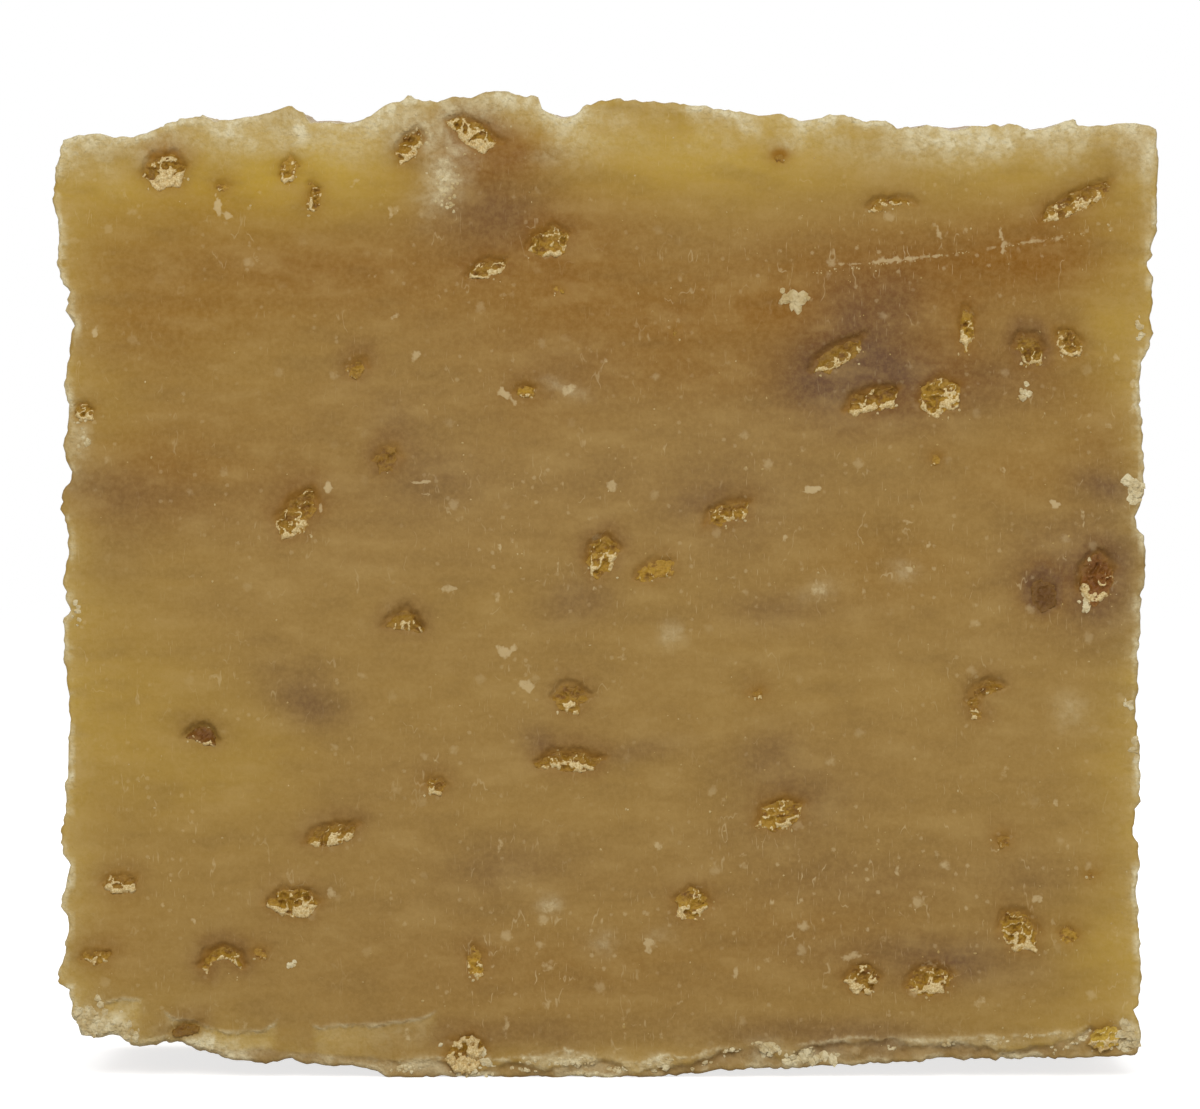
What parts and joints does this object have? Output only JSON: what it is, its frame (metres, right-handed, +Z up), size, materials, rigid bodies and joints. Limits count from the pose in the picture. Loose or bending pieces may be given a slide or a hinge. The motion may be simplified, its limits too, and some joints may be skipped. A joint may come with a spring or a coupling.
{
  "type": "bar of soap",
  "caption": "Hand-cut slab of translucent honey-brown soap with a wavy poured top and flakes of grain bran cast into it, standing on its lower edge.",
  "frame": {"origin": "on the base, at the middle of the bar's width and thickness", "axes": "+X across the bar, to the right as seen from the front; +Y from the front cut face to the back one; +Z up to the poured top"},
  "size_m": [0.08, 0.025, 0.0715],
  "materials": {
    "soap": "waxy, slightly translucent, wire-cut",
    "bran": "rough, fibrous, with pale crumbs",
    "buried_bran": "rough, soaked dark"
  },
  "bodies": {
    "root": {"soap_bar": "soap", "back_flakes": "bran", "buried_flakes": "buried_bran", "edge_flake_1": "bran", "edge_flake_2": "bran", "edge_flake_3": "bran", "grain_flake_01": "bran", "grain_flake_02": "bran", "grain_flake_03": "bran", "grain_flake_04": "bran", "grain_flake_05": "bran", "grain_flake_06": "bran", "grain_flake_07": "bran", "grain_flake_08": "bran", "grain_flake_09": "bran", "grain_flake_10": "bran", "grain_flake_11": "bran", "grain_flake_12": "bran", "grain_flake_13": "bran", "grain_flake_14": "bran", "grain_flake_15": "bran", "grain_flake_16": "bran", "grain_flake_17": "bran", "grain_flake_18": "bran", "grain_flake_19": "bran", "grain_flake_20": "bran", "grain_flake_21": "bran", "grain_flake_22": "bran", "grain_flake_23": "bran", "grain_flake_24": "bran", "grain_flake_25": "bran", "grain_flake_26": "bran", "grain_flake_27": "bran", "grain_flake_28": "bran", "grain_flake_29": "bran", "grain_flake_30": "bran", "grain_flake_31": "bran", "grain_flake_32": "bran", "grain_flake_33": "bran", "grain_flake_34": "bran", "grain_flake_35": "bran", "grain_flake_36": "bran", "grain_flake_37": "bran", "grain_flake_38": "bran", "grain_flake_39": "bran", "grain_flake_40": "bran", "grain_flake_41": "bran", "grain_flake_42": "bran", "left_flakes": "bran", "right_flakes": "bran", "small_flakes": "bran", "top_flakes": "bran"}
  },
  "joints": []
}
